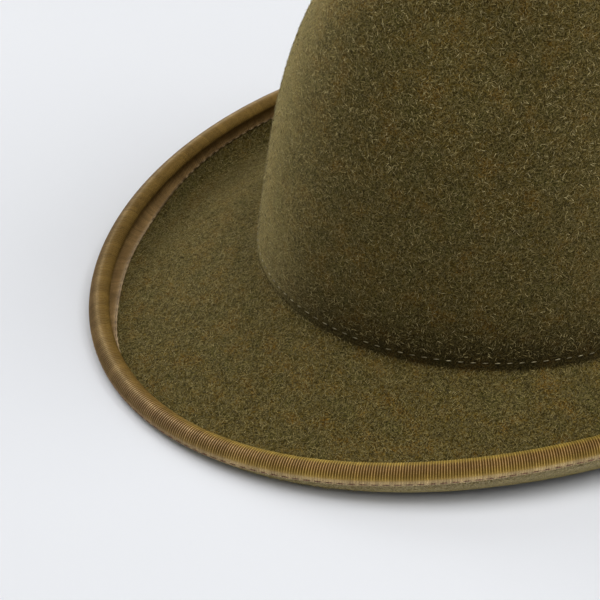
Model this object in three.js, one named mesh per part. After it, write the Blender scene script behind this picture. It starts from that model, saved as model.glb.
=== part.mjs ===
// A blocked wool felt hat: a tall creased crown, a drooping brim with a curled edge,
// a ribbed ribbon sewn round that edge, and a plain band inside the crown.
// Millimetres, +Z up. The front faces -Y and the brim rests on z = 0.
import * as THREE from 'three';

// Sheet thicknesses, and the clearance kept between pieces.
const FELT = 2.1;
const RIBBON = 0.6;
const BAND = 1.1;
const CLEARANCE = 0.3;

// The head opening inside the band, for a 58 cm head.
const HEAD_LENGTH = 202;
const HEAD_WIDTH = 166;

// Crown: height over the crown line, which is where the brim turns out, and that line's
// own height over the floor at the front, sides and back.
const CROWN_HEIGHT = 156;
const LINE_FRONT = 25.5;
const LINE_SIDE = 20.6;
const LINE_BACK = 21.3;

// Brim: width from the crown to the outermost point of the curled edge.
const BRIM_FRONT = 70;
const BRIM_SIDE = 47;
const BRIM_BACK = 65;
const BRIM_SLOPE = 16;

// Curled edge: the free radius left inside the roll and the roll's turn past the upright.
// At the sides it lies higher and turns up more openly: its lift there, how many degrees
// short of a quarter turn the turn-up stays, and the height under the foot of the turn-up.
const ROLL_CORE = 0.75;
const ROLL_TURN = 130;
const SIDE_LIFT = 12.9;
const SIDE_OPEN = 30;
const SIDE_CLEARANCE = 1.5;

// How far the felt has flattened where it rests, and how much of the turn-up gathers at the
// sides: a higher power keeps the front and back flatter.
const SETTLE = 0.6;
const SIDE_POWER = 2;

// Break between crown and brim: how far it drops and reaches out in turning from one to the
// other, and how far out of the wall the middle of its curve is pulled.
const BREAK_DROP = 5.4;
const BREAK_REACH = 4.2;
const BREAK_PULL = 0.5;

// Ribbon: how far its legs run down from the roll's widest line, the outer one all round
// and the inner one at the ends and the sides.
const OUTER_LEG = 0.4;
const INNER_LEG_ENDS = 13.8;
const INNER_LEG_SIDES = 8.4;

// Inner band: how far it stands up the crown wall from the crown line.
const BAND_HEIGHT = 34;

// Facets round the hat.
const SEGMENTS = 56;

// Crown sections from the crown line to the top. Heights are shares of CROWN_HEIGHT, the
// other columns are shares of the half length or half width of the felt at the crown line.
const CROWN_ROWS = [
  { height: 0.0, front: 1.0, side: 1.0, back: 1.0 },
  { height: 0.09, front: 0.99, side: 0.97, back: 0.984 },
  { height: 0.24, front: 0.966, side: 0.932, back: 0.958 },
  { height: 0.4, front: 0.925, side: 0.892, back: 0.925 },
  { height: 0.56, front: 0.865, side: 0.848, back: 0.885 },
  { height: 0.7, front: 0.788, side: 0.797, back: 0.838 },
  { height: 0.81, front: 0.71, side: 0.742, back: 0.786 },
  { height: 0.9, front: 0.635, side: 0.675, back: 0.725 },
  { height: 0.96, front: 0.563, side: 0.595, back: 0.656 },
  { height: 0.992, front: 0.48, side: 0.492, back: 0.565 },
  { height: 1.0, front: 0.365, side: 0.355, back: 0.435 },
  { height: 0.995, front: 0.2, side: 0.19, back: 0.23 },
];

// The trough pressed along the crown's top. Its depth is a share of CROWN_HEIGHT, its half
// width and half length are shares of the felt's half width and half length.
const TROUGH = { depth: 0.16, halfWidth: 0.28, halfLength: 0.58 };

// The two soft pinches at the front of the crown. Height, rise and depth are shares of
// CROWN_HEIGHT, side and forward places are shares of the felt's half width and half length,
// and the spread is a share of the half width.
const PINCHES = [
  { side: -0.54, forward: 0.48, height: 0.86, rise: 0.2, spread: 0.28, depth: 0.065 },
  { side: 0.54, forward: 0.48, height: 0.86, rise: 0.2, spread: 0.28, depth: 0.065 },
];

// Sizes that follow from the ones above.
const HALF_LENGTH = HEAD_LENGTH / 2 + BAND + CLEARANCE + FELT / 2;
const HALF_WIDTH = HEAD_WIDTH / 2 + BAND + CLEARANCE + FELT / 2;
const BINDING = FELT / 2 + CLEARANCE + RIBBON;
const ROLL_RADIUS = BINDING + ROLL_CORE;
const BEAD_RADIUS = ROLL_RADIUS + BINDING;
const BEAD_HEIGHT_ENDS = FELT / 2 - SETTLE + ROLL_RADIUS;
const BEAD_HEIGHT_SIDES = BEAD_HEIGHT_ENDS + SIDE_LIFT;
const CROWN_TOP = LINE_SIDE + CROWN_HEIGHT;
const CENTRE_Y = (BRIM_FRONT - BRIM_BACK) / 2;

const radians = THREE.MathUtils.degToRad;
const TURN_UP_SIDES = (BEAD_HEIGHT_SIDES - FELT / 2 - SIDE_CLEARANCE) / Math.cos(radians(SIDE_OPEN));

// A value round the hat from its front, side and back values, where heading is the
// direction that the felt faces, 0 at the front and 90 degrees at the side.
function around(front, side, back, heading) {
  const mean = (front + back) / 4 + side / 2;
  const lean = (front - back) / 2;
  const swing = (front + back) / 4 - side / 2;
  return mean + lean * Math.cos(heading) + swing * Math.cos(2 * heading);
}

// Outward direction of the crown line's oval at a step round it.
function facing(turn) {
  const out = new THREE.Vector2(Math.sin(turn) / HALF_WIDTH, -Math.cos(turn) / HALF_LENGTH);
  return out.normalize();
}

// How strongly a place lies in a round dent, 1 at its middle.
function bell(...shares) {
  return Math.exp(-shares.reduce((sum, share) => sum + share ** 2, 0));
}

// The crown with its dents pressed in: the trough sinks its top, and each pinch draws the
// wall towards the middle.
function dented(point) {
  const x = point.x;
  const y = point.y - CENTRE_Y;
  const across = bell(x / (TROUGH.halfWidth * HALF_WIDTH));
  const along = bell((y / (TROUGH.halfLength * HALF_LENGTH)) ** 2);
  const depth = TROUGH.depth * CROWN_HEIGHT;
  const topness = THREE.MathUtils.smoothstep(point.z, CROWN_TOP - 2 * depth, CROWN_TOP);
  let keep = 1;
  for (const pinch of PINCHES) {
    const spread = pinch.spread * HALF_WIDTH;
    const strength = bell(
      (x - pinch.side * HALF_WIDTH) / spread,
      (y + pinch.forward * HALF_LENGTH) / spread,
      (point.z - LINE_SIDE - pinch.height * CROWN_HEIGHT) / (pinch.rise * CROWN_HEIGHT),
    );
    const centre = Math.hypot(pinch.side * HALF_WIDTH, pinch.forward * HALF_LENGTH);
    keep -= (pinch.depth * CROWN_HEIGHT * strength) / centre;
  }
  return new THREE.Vector3(x * keep, CENTRE_Y + y * keep, point.z - depth * across * along * topness);
}

// Middle surface of the crown at one step round it, from the line up to the last row.
function crownPoints(turn) {
  const out = facing(turn);
  const line = around(LINE_FRONT, LINE_SIDE, LINE_BACK, Math.atan2(out.x, -out.y));
  return CROWN_ROWS.map((row) => {
    const end = Math.cos(turn) > 0 ? row.front : row.back;
    const z = line + row.height * (CROWN_TOP - line);
    const x = HALF_WIDTH * row.side * Math.sin(turn);
    const y = CENTRE_Y - HALF_LENGTH * end * Math.cos(turn);
    return dented(new THREE.Vector3(x, y, z));
  });
}

// Middle line of the brim at one heading, as reach from the crown line and height: the
// break, the droop, the turn-up and the roll.
function brimLine(heading) {
  const line = around(LINE_FRONT, LINE_SIDE, LINE_BACK, heading);
  const bead = around(BRIM_FRONT, BRIM_SIDE, BRIM_BACK, heading) + FELT / 2 - BEAD_RADIUS;
  const beadHeight = around(BEAD_HEIGHT_ENDS, BEAD_HEIGHT_SIDES, BEAD_HEIGHT_ENDS, heading);
  const sideness = Math.sin(heading) ** SIDE_POWER;
  const turnUp = ROLL_RADIUS + (TURN_UP_SIDES - ROLL_RADIUS) * sideness;
  const open = radians(SIDE_OPEN) * sideness;
  const centre = new THREE.Vector2(bead + ROLL_RADIUS - turnUp, beadHeight);
  const gutter = new THREE.Vector2(
    centre.x + turnUp * Math.sin(open),
    centre.y - turnUp * Math.cos(open),
  );
  const slope = Math.tan(radians(BRIM_SLOPE));
  const foot = new THREE.Vector2(BREAK_REACH, line - BREAK_DROP);
  const third = (gutter.x - foot.x) / 3;
  const lead = third / 2;
  const breakCurve = new THREE.QuadraticBezierCurve(
    new THREE.Vector2(0, line),
    new THREE.Vector2(BREAK_PULL, foot.y + slope * (foot.x - BREAK_PULL)),
    foot,
  );
  const sweep = new THREE.CurvePath();
  sweep.add(new THREE.CubicBezierCurve(
    foot,
    new THREE.Vector2(foot.x + third, foot.y - slope * third),
    new THREE.Vector2(gutter.x - lead, gutter.y - lead * Math.tan(open)),
    gutter,
  ));
  sweep.add(new THREE.EllipseCurve(centre.x, centre.y, turnUp, turnUp, open - Math.PI / 2, 0));
  const roll = new THREE.EllipseCurve(bead, beadHeight, ROLL_RADIUS, ROLL_RADIUS, 0, radians(ROLL_TURN));
  return { breakCurve, sweep, roll };
}

// Stations along the brim: how many facets each stretch has, and how far back from the
// roll's widest line those under the ribbon lie, the inner ones as shares of its inner leg.
const BREAK_STEPS = 3;
const DROOP_STEPS = 4;
const LEG_SHARES = [1, 0.7, 0.45, 0.25, 0.12];
const ROLL_STEPS = 4;

function brimPoints(turn) {
  const out = facing(turn);
  const heading = Math.atan2(out.x, -out.y);
  const curves = brimLine(heading);
  const innerLeg = around(INNER_LEG_ENDS, INNER_LEG_SIDES, INNER_LEG_ENDS, heading);
  const legs = [...LEG_SHARES.map((share) => share * innerLeg), OUTER_LEG];
  const flat = [];
  for (let i = 1; i <= BREAK_STEPS; i += 1) {
    flat.push(curves.breakCurve.getPoint(i / BREAK_STEPS));
  }
  const length = curves.sweep.getLength();
  const selvedge = 1 - innerLeg / length;
  for (let i = 1; i < DROOP_STEPS; i += 1) {
    flat.push(curves.sweep.getPoint((selvedge * i) / DROOP_STEPS));
  }
  for (const leg of legs) {
    flat.push(curves.sweep.getPoint(1 - leg / length));
  }
  for (let i = 0; i <= ROLL_STEPS; i += 1) {
    flat.push(curves.roll.getPoint(i / ROLL_STEPS));
  }
  const x = HALF_WIDTH * Math.sin(turn);
  const y = CENTRE_Y - HALF_LENGTH * Math.cos(turn);
  return flat.map((p) => new THREE.Vector3(x + out.x * p.x, y + out.y * p.x, p.y));
}

// The middle surface as columns of points, one column for each step round the hat, each
// from the crown's top to the rolled edge.
function middleSurface() {
  const columns = [];
  for (let i = 0; i < SEGMENTS; i += 1) {
    const turn = (2 * Math.PI * i) / SEGMENTS;
    columns.push([...crownPoints(turn).reverse(), ...brimPoints(turn)]);
  }
  return columns;
}

const middle = middleSurface();
const LAST = middle[0].length - 1;
const LINE_ROW = CROWN_ROWS.length - 1;
const SELVEDGE_ROW = LINE_ROW + BREAK_STEPS + DROOP_STEPS;
const OUTER_LEG_ROW = SELVEDGE_ROW + LEG_SHARES.length;

// Along a column, and outward from the felt's outer face.
function alongAt(i, k) {
  const column = middle[i];
  const next = column[Math.min(k + 1, LAST)];
  const last = column[Math.max(k - 1, 0)];
  return next.clone().sub(last).normalize();
}

function outwardAt(i, k) {
  const right = middle[(i + 1) % SEGMENTS][k];
  const left = middle[(i + SEGMENTS - 1) % SEGMENTS][k];
  const round = right.clone().sub(left);
  return alongAt(i, k).cross(round).normalize();
}

function offsetPoint(i, k, distance) {
  return middle[i][k].clone().addScaledVector(outwardAt(i, k), distance);
}

// A closed surface from rings of points, all running the same way round. The first and
// last ring close through a pole, or on each other when loop is true. Each facet is split
// along its shorter diagonal, so that neighbouring pieces bend alike.
function ringGeometry(rings, loop, poles) {
  const positions = rings.flat().flatMap((p) => [p.x, p.y, p.z]);
  const index = [];
  const bands = loop ? rings.length : rings.length - 1;
  for (let r = 0; r < bands; r += 1) {
    const next = (r + 1) % rings.length;
    const here = r * SEGMENTS;
    const there = next * SEGMENTS;
    for (let i = 0; i < SEGMENTS; i += 1) {
      const j = (i + 1) % SEGMENTS;
      const forward = rings[r][i].distanceTo(rings[next][j]);
      const backward = rings[r][j].distanceTo(rings[next][i]);
      if (forward < backward) {
        index.push(here + i, there + i, there + j);
        index.push(here + i, there + j, here + j);
      } else {
        index.push(here + i, there + i, here + j);
        index.push(here + j, there + i, there + j);
      }
    }
  }
  for (const pole of poles) {
    const tip = positions.length / 3;
    positions.push(pole.point.x, pole.point.y, pole.point.z);
    const start = pole.ring * SEGMENTS;
    for (let i = 0; i < SEGMENTS; i += 1) {
      const j = (i + 1) % SEGMENTS;
      const face = pole.ring === 0 ? [tip, start + i, start + j] : [tip, start + j, start + i];
      index.push(...face);
    }
  }
  const geometry = new THREE.BufferGeometry();
  geometry.setAttribute('position', new THREE.Float32BufferAttribute(positions, 3));
  geometry.setIndex(index);
  geometry.computeVertexNormals();
  return geometry;
}

function ringAt(k, distance) {
  return middle.map((_, i) => offsetPoint(i, k, distance));
}

// One piece of felt: the face that shows on the crown and on top of the brim, from the
// crown's top to the rolled edge, then the under face back again. It is flat where it rests.
function feltBody() {
  const shown = [];
  const under = [];
  for (let k = 0; k <= LAST; k += 1) {
    shown.push(ringAt(k, FELT / 2));
    under.push(ringAt(k, -FELT / 2).map((p) => p.setZ(Math.max(p.z, 0))));
  }
  const top = dented(new THREE.Vector3(0, CENTRE_Y, CROWN_TOP));
  const poles = [
    { ring: 0, point: top.clone().setZ(top.z + FELT / 2) },
    { ring: 2 * LAST + 1, point: top.clone().setZ(top.z - FELT / 2) },
  ];
  return ringGeometry([...shown, ...under.reverse()], false, poles);
}

// The ribbon folded round the rolled edge. Its section goes up the outside of the roll,
// round the felt's edge and back inside to the selvedge on top of the brim.
const WRAP_STEPS = 4;

function ribbonBinding() {
  const face = (distance) => {
    const rings = [];
    for (let k = OUTER_LEG_ROW; k <= LAST; k += 1) {
      rings.push(ringAt(k, -distance));
    }
    for (let w = 1; w < WRAP_STEPS; w += 1) {
      const angle = (Math.PI * w) / WRAP_STEPS;
      rings.push(middle.map((column, i) => column[LAST].clone()
        .addScaledVector(outwardAt(i, LAST), -distance * Math.cos(angle))
        .addScaledVector(alongAt(i, LAST), distance * Math.sin(angle))));
    }
    for (let k = LAST; k >= SELVEDGE_ROW; k -= 1) {
      rings.push(ringAt(k, distance));
    }
    return rings;
  };
  const near = face(FELT / 2 + CLEARANCE);
  const far = face(BINDING);
  return ringGeometry([...near, ...far.reverse()], true, []);
}

// The plain band that stands inside the crown, from the crown line up. Its rings lie
// between those of the crown wall, so that it keeps its clearance all the way.
function innerBand() {
  const top = BAND_HEIGHT / CROWN_HEIGHT;
  const above = CROWN_ROWS.findIndex((row) => row.height >= top);
  const below = CROWN_ROWS[above - 1].height;
  const share = (top - below) / (CROWN_ROWS[above].height - below);
  const near = -(FELT / 2 + CLEARANCE);
  const face = (distance) => {
    const rings = [];
    for (let row = 0; row < above; row += 1) {
      rings.push(ringAt(LINE_ROW - row, distance));
    }
    const upper = ringAt(LINE_ROW - above, distance);
    rings.push(rings[above - 1].map((p, i) => p.clone().lerp(upper[i], share)));
    return rings;
  };
  return ringGeometry([...face(near - BAND), ...face(near).reverse()], true, []);
}

function piece(name, geometry, colour, roughness) {
  const material = new THREE.MeshStandardMaterial({ color: colour, roughness, metalness: 0 });
  const mesh = new THREE.Mesh(geometry, material);
  mesh.name = name;
  return mesh;
}

const hat = new THREE.Group();
hat.add(piece('felt_body', feltBody(), 0x4a4024, 0.95));
hat.add(piece('ribbon_binding', ribbonBinding(), 0x6c5630, 0.7));
hat.add(piece('inner_band', innerBand(), 0x3c3420, 0.75));

export default hat;
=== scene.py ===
import math

import bmesh
import bpy
import numpy as np
from mathutils import Matrix, Vector, noise


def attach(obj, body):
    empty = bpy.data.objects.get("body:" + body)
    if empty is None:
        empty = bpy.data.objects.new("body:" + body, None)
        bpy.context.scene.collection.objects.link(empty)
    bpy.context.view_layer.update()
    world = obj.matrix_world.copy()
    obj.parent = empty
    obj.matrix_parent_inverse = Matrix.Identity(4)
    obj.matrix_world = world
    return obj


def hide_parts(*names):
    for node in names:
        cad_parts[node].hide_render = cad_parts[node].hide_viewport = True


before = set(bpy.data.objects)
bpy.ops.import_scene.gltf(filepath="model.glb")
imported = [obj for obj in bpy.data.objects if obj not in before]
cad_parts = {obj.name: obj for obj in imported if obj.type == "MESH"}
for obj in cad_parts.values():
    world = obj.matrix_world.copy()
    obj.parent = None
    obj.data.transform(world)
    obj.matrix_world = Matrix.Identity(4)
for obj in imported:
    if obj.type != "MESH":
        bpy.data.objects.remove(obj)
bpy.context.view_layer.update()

# A blocked wool felt hat: felt body, ribbed ribbon round the curled edge, inner band, stitches
# and nap. Lengths in this script are millimetres until they go into a mesh.
MM = 0.001

# Sheets and the clearance between them.
FELT = 2.1
RIBBON = 0.6
BAND = 1.1
CLEARANCE = 0.3

# Head opening, crown and brim, as in the solid model.
HEAD_LENGTH = 202
HEAD_WIDTH = 166
CROWN_HEIGHT = 156
LINE_FRONT, LINE_SIDE, LINE_BACK = 25.5, 20.6, 21.3
BRIM_FRONT, BRIM_SIDE, BRIM_BACK = 70, 47, 65
BRIM_SLOPE = math.radians(16)
ROLL_CORE = 0.75
ROLL_TURN = math.radians(130)
SIDE_LIFT = 12.9
SIDE_OPEN = math.radians(30)
SIDE_CLEARANCE = 1.5
SETTLE = 0.6
SIDE_POWER = 2
BREAK_DROP = 5.4
BREAK_REACH = 4.2
BREAK_PULL = 0.5

# The ribbon's outer leg, and its inner leg, which is widest beside the front.
OUTER_LEG = 1.4
INNER_LEG = 8.2
INNER_LEG_SWELL = 5.4
SWELL_HEADING = math.radians(33)
SWELL_REACH = math.radians(22)
BAND_HEIGHT = 34

# Crown sections: height as a share of the crown, then the front, side and back reach as
# shares of the half length or half width. The last row is the crown's middle.
CROWN_ROWS = np.array([
    (0.0, 1.0, 1.0, 1.0),
    (0.09, 0.99, 0.97, 0.984),
    (0.24, 0.966, 0.932, 0.958),
    (0.4, 0.925, 0.892, 0.925),
    (0.56, 0.865, 0.848, 0.885),
    (0.7, 0.788, 0.797, 0.838),
    (0.81, 0.71, 0.742, 0.786),
    (0.9, 0.635, 0.675, 0.725),
    (0.96, 0.563, 0.595, 0.656),
    (0.992, 0.48, 0.492, 0.565),
    (1.0, 0.365, 0.355, 0.435),
    (0.995, 0.2, 0.19, 0.23),
    (0.996, 0.0, 0.0, 0.0),
])
TROUGH_DEPTH, TROUGH_HALF_WIDTH, TROUGH_HALF_LENGTH = 0.16, 0.28, 0.58
PINCH_SIDE, PINCH_FORWARD, PINCH_HEIGHT = 0.54, 0.48, 0.86
PINCH_RISE, PINCH_SPREAD, PINCH_DEPTH = 0.2, 0.28, 0.065

HALF_LENGTH = HEAD_LENGTH / 2 + BAND + CLEARANCE + FELT / 2
HALF_WIDTH = HEAD_WIDTH / 2 + BAND + CLEARANCE + FELT / 2
BINDING = FELT / 2 + CLEARANCE + RIBBON
ROLL_RADIUS = BINDING + ROLL_CORE
BEAD_RADIUS = ROLL_RADIUS + BINDING
BEAD_HEIGHT_ENDS = FELT / 2 - SETTLE + ROLL_RADIUS
BEAD_HEIGHT_SIDES = BEAD_HEIGHT_ENDS + SIDE_LIFT
TURN_UP_SIDES = (BEAD_HEIGHT_SIDES - FELT / 2 - SIDE_CLEARANCE) / math.cos(SIDE_OPEN)
CROWN_TOP = LINE_SIDE + CROWN_HEIGHT
CENTRE_Y = (BRIM_FRONT - BRIM_BACK) / 2
NEAR_FACE = FELT / 2 + CLEARANCE

# Sewing and ribbon counts.
CROWN_STITCHES = 131
RIBBON_STITCHES = 231
RIBS = 950
STEPS_PER_STITCH = 3
STEPS_PER_RIB = 2

TURN = 2 * math.pi

# Points along the brim's curves, and steps round the hat from which even ones are read.
TURN_OUT_POINTS = 25
FALL_POINTS = 61
ROLL_POINTS = 41
FINE_TURNS = 4001

# Points of a mesh closer than this, in metres, are one point.
MERGE_GAP = 1e-3 * MM


# The hat's form.

def around(front, side, back, heading):
    """A value round the hat from its front, side and back values."""
    mean = (front + back) / 4 + side / 2
    lean = (front - back) / 2
    swing = (front + back) / 4 - side / 2
    return mean + lean * np.cos(heading) + swing * np.cos(2 * heading)


def facing(turns):
    """Outward direction of the crown line's oval at each step round it."""
    out = np.stack([np.sin(turns) / HALF_WIDTH, -np.cos(turns) / HALF_LENGTH], axis=1)
    return out / np.linalg.norm(out, axis=1, keepdims=True)


def running_total(steps):
    return np.concatenate([[0], np.cumsum(steps)])


def even_turns(count, *reaches):
    """Steps round the hat that lie evenly along the crown line, or along a line that far out
    from it at the front, side and back."""
    fine = np.linspace(0, TURN, FINE_TURNS)
    out = facing(fine)
    reach = around(*reaches, np.arctan2(out[:, 0], -out[:, 1])) if reaches else np.zeros(len(fine))
    x = HALF_WIDTH * np.sin(fine) + reach * out[:, 0]
    y = -HALF_LENGTH * np.cos(fine) + reach * out[:, 1]
    run = running_total(np.hypot(np.diff(x), np.diff(y)))
    return np.interp(np.arange(count) / count * run[-1], run, fine)


def smooth_rows(places):
    """The crown's rows read between their entries on a smooth curve through them."""
    before = 2 * CROWN_ROWS[0] - CROWN_ROWS[1]
    beyond = CROWN_ROWS[-2] * [1, -1, -1, -1]
    rows = np.vstack([before, CROWN_ROWS, beyond])
    k = np.minimum(places.astype(int), len(CROWN_ROWS) - 2)
    t = (places - k)[:, None]
    a, b, c, d = rows[k], rows[k + 1], rows[k + 2], rows[k + 3]
    return b + 0.5 * t * (c - a + t * (2 * a - 5 * b + 4 * c - d + t * (3 * (b - c) + d - a)))


def press_dents(points):
    """The trough sinks the crown's top, and the two pinches draw its wall inwards."""
    x, y, z = points[..., 0], points[..., 1] - CENTRE_Y, points[..., 2]
    depth = TROUGH_DEPTH * CROWN_HEIGHT
    across = np.exp(-((x / (TROUGH_HALF_WIDTH * HALF_WIDTH)) ** 2))
    along = np.exp(-((y / (TROUGH_HALF_LENGTH * HALF_LENGTH)) ** 4))
    top = np.clip((z - (CROWN_TOP - 2 * depth)) / (2 * depth), 0, 1)
    top = top * top * (3 - 2 * top)
    spread = PINCH_SPREAD * HALF_WIDTH
    forward = PINCH_FORWARD * HALF_LENGTH
    centre = math.hypot(PINCH_SIDE * HALF_WIDTH, forward)
    keep = 1.0
    for side in (-PINCH_SIDE, PINCH_SIDE):
        shares = ((x - side * HALF_WIDTH) / spread) ** 2 + ((y + forward) / spread) ** 2
        shares += ((z - LINE_SIDE - PINCH_HEIGHT * CROWN_HEIGHT) / (PINCH_RISE * CROWN_HEIGHT)) ** 2
        keep = keep - PINCH_DEPTH * CROWN_HEIGHT / centre * np.exp(-shares)
    return np.stack([x * keep, CENTRE_Y + y * keep, z - depth * across * along * top], axis=-1)


def crown_surface(turns, places):
    """Middle surface of the crown at those steps round it and places up its rows."""
    out = facing(turns)
    line = around(LINE_FRONT, LINE_SIDE, LINE_BACK, np.arctan2(out[:, 0], -out[:, 1]))[:, None]
    height, front, side, back = smooth_rows(places).T
    end = np.where(np.cos(turns)[:, None] > 0, front, back)
    points = np.stack([
        HALF_WIDTH * side * np.sin(turns)[:, None],
        CENTRE_Y - HALF_LENGTH * end * np.cos(turns)[:, None],
        line + height * (CROWN_TOP - line),
    ], axis=-1)
    return press_dents(points)


def bezier(t, *points):
    """A Bezier curve through its control points."""
    t = np.asarray(t)[:, None]
    row = [np.array(p, float) for p in points]
    while len(row) > 1:
        row = [(1 - t) * a + t * b for a, b in zip(row, row[1:])]
    return row[0]


def arc(x, y, radius, angles):
    return np.stack([x + radius * np.cos(angles), y + radius * np.sin(angles)], axis=1)


def brim_curves(heading):
    """The break, sweep and roll of the brim at one heading, as reach and height."""
    line = around(LINE_FRONT, LINE_SIDE, LINE_BACK, heading)
    bead = around(BRIM_FRONT, BRIM_SIDE, BRIM_BACK, heading) + FELT / 2 - BEAD_RADIUS
    height = around(BEAD_HEIGHT_ENDS, BEAD_HEIGHT_SIDES, BEAD_HEIGHT_ENDS, heading)
    sideness = math.sin(heading) ** SIDE_POWER
    turn_up = ROLL_RADIUS + (TURN_UP_SIDES - ROLL_RADIUS) * sideness
    opened = SIDE_OPEN * sideness
    centre = (bead + ROLL_RADIUS - turn_up, height)
    gutter = (centre[0] + turn_up * math.sin(opened), centre[1] - turn_up * math.cos(opened))
    slope = math.tan(BRIM_SLOPE)
    foot = (BREAK_REACH, line - BREAK_DROP)
    third = (gutter[0] - foot[0]) / 3
    lead = third / 2
    pulled = (BREAK_PULL, foot[1] + slope * (foot[0] - BREAK_PULL))
    turn_out = bezier(np.linspace(0, 1, TURN_OUT_POINTS), (0, line), pulled, foot)
    fall = bezier(
        np.linspace(0, 1, FALL_POINTS), foot, (foot[0] + third, foot[1] - slope * third),
        (gutter[0] - lead, gutter[1] - lead * math.tan(opened)), gutter,
    )
    rise = arc(*centre, turn_up, np.linspace(opened - math.pi / 2, 0, ROLL_POINTS)[1:])
    roll = arc(bead, height, ROLL_RADIUS, np.linspace(0, ROLL_TURN, ROLL_POINTS))
    return turn_out, np.vstack([fall, rise]), roll


def along_curve(curve, places):
    """Points on a polyline at those distances along it."""
    run = running_total(np.linalg.norm(np.diff(curve, axis=0), axis=1))
    return np.stack([np.interp(places, run, curve[:, k]) for k in range(2)], axis=1)


def curve_length(curve):
    return np.linalg.norm(np.diff(curve, axis=0), axis=1).sum()


def brim_surface(turns, break_shares, fall_shares, leg_shares, roll_shares):
    """Middle surface of the brim: stations on the break, on the fall down to the ribbon's
    selvedge, on the ribbon's inner leg, at the foot of its outer leg, and round the roll."""
    out = facing(turns)
    columns = []
    for k, turn in enumerate(turns):
        heading = math.atan2(out[k, 0], -out[k, 1])
        turn_out, sweep, roll = brim_curves(heading)
        length = curve_length(sweep)
        from_swell = abs(abs(heading) - SWELL_HEADING) / SWELL_REACH
        inner_leg = INNER_LEG + INNER_LEG_SWELL * math.exp(-from_swell ** 3)
        flat = np.vstack([
            along_curve(turn_out, break_shares * curve_length(turn_out)),
            along_curve(sweep, fall_shares * (length - inner_leg)),
            along_curve(sweep, length - np.append(leg_shares * inner_leg, OUTER_LEG)),
            along_curve(roll, roll_shares * curve_length(roll)),
        ])
        x = HALF_WIDTH * math.sin(turn) + out[k, 0] * flat[:, 0]
        y = CENTRE_Y - HALF_LENGTH * math.cos(turn) + out[k, 1] * flat[:, 0]
        columns.append(np.stack([x, y, flat[:, 1]], axis=1))
    return np.array(columns)


def surface_normals(middle):
    """Directions out of the shown face and along the section at each point of a surface."""
    along = np.empty_like(middle)
    along[:, 1:-1] = middle[:, 2:] - middle[:, :-2]
    along[:, 0] = middle[:, 1] - middle[:, 0]
    along[:, -1] = middle[:, -1] - middle[:, -2]
    round_it = np.roll(middle, -1, axis=0) - np.roll(middle, 1, axis=0)
    along /= np.linalg.norm(along, axis=2, keepdims=True)
    out = np.cross(along, round_it)
    return out / np.linalg.norm(out, axis=2, keepdims=True), along


# Meshes.

def loft(rings, end):
    """A bmesh drawn through rings of points, whose points keep their column and row. The first
    ring is a circle moved into place, and each next one is extruded from the one before. end is
    a pair of points that close the two ends, 'loop', where the last ring is merged with the
    first, or 'open'."""
    mesh = bmesh.new()
    count = len(rings[0])
    column = mesh.verts.layers.int.new("column")
    row = mesh.verts.layers.int.new("row")
    ring = bmesh.ops.create_circle(mesh, segments=count, radius=1)["verts"]
    edges = list(mesh.edges)
    first_edges = edges
    for r, places in enumerate(rings):
        if r:
            grown = bmesh.ops.extrude_edge_only(mesh, edges=edges)["geom"]
            fresh = {g for g in grown if isinstance(g, bmesh.types.BMVert)}
            edges = [g for g in grown if isinstance(g, bmesh.types.BMEdge) and g.is_boundary]
            ring = [
                next(e.other_vert(v) for e in v.link_edges if e.other_vert(v) in fresh) for v in ring
            ]
        for c, (vert, place) in enumerate(zip(ring, places)):
            vert.co = place * MM
            vert[column] = c
            vert[row] = r
    if end == "loop":
        bmesh.ops.remove_doubles(mesh, verts=mesh.verts, dist=MERGE_GAP)
    elif end != "open":
        for rim, tip in ((first_edges, end[0]), (edges, end[1])):
            cap = bmesh.ops.contextual_create(mesh, geom=rim)["faces"]
            centre = bmesh.ops.poke(mesh, faces=cap)["verts"]
            centre[0].co = tip * MM
            centre[0][column] = -1
    bmesh.ops.recalc_face_normals(mesh, faces=mesh.faces)
    return mesh


def map_ring(mesh, name, count, round_values, across_values):
    """A UV map from each point's column round the hat and row across the section."""
    column = mesh.verts.layers.int["column"]
    row = mesh.verts.layers.int["row"]
    layer = mesh.loops.layers.uv.new(name)
    for face in mesh.faces:
        columns = [loop.vert[column] for loop in face.loops]
        wraps = max(columns) - min(c for c in columns if c >= 0) > 1
        known = [c for c in columns if c >= 0]
        for loop, c in zip(face.loops, columns):
            if c < 0:
                c = known[0]
            if wraps and c == 0:
                c = count
            loop[layer].uv = (round_values[c], across_values[loop.vert[row]])


def to_data(name, mesh):
    data = bpy.data.meshes.new(name)
    mesh.to_mesh(data)
    mesh.free()
    return data


def place_object(name, data):
    made = bpy.data.objects.new(name, data)
    bpy.context.scene.collection.objects.link(made)
    return made


def to_piece(name, data, material):
    """The finished mesh as a piece that rides on the hat's one body."""
    for layer in ("column", "row"):
        if layer in data.attributes:
            data.attributes.remove(data.attributes[layer])
    data.materials.append(material)
    piece = place_object(name, data)
    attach(piece, "root")
    return piece


def smooth_piece(name, mesh, material):
    data = to_data(name, mesh)
    data.polygons.foreach_set("use_smooth", [True] * len(data.polygons))
    return to_piece(name, data, material)


# Node helpers.

def new_material(name):
    material = bpy.data.materials.new(name)
    material.use_nodes = True
    tree = material.node_tree
    return material, tree, tree.nodes["Principled BSDF"]


def node(tree, kind, values=None, **settings):
    """A node with its settings and input values in place."""
    made = tree.nodes.new(kind)
    for key, value in settings.items():
        setattr(made, key, value)
    for key, value in (values or {}).items():
        if isinstance(value, bpy.types.NodeSocket):
            tree.links.new(value, made.inputs[key])
        else:
            made.inputs[key].default_value = value
    return made


def finish(shader, values):
    """Plain numbers and colours on the shader's own sockets."""
    for name, value in values.items():
        shader.inputs[name].default_value = value


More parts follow.
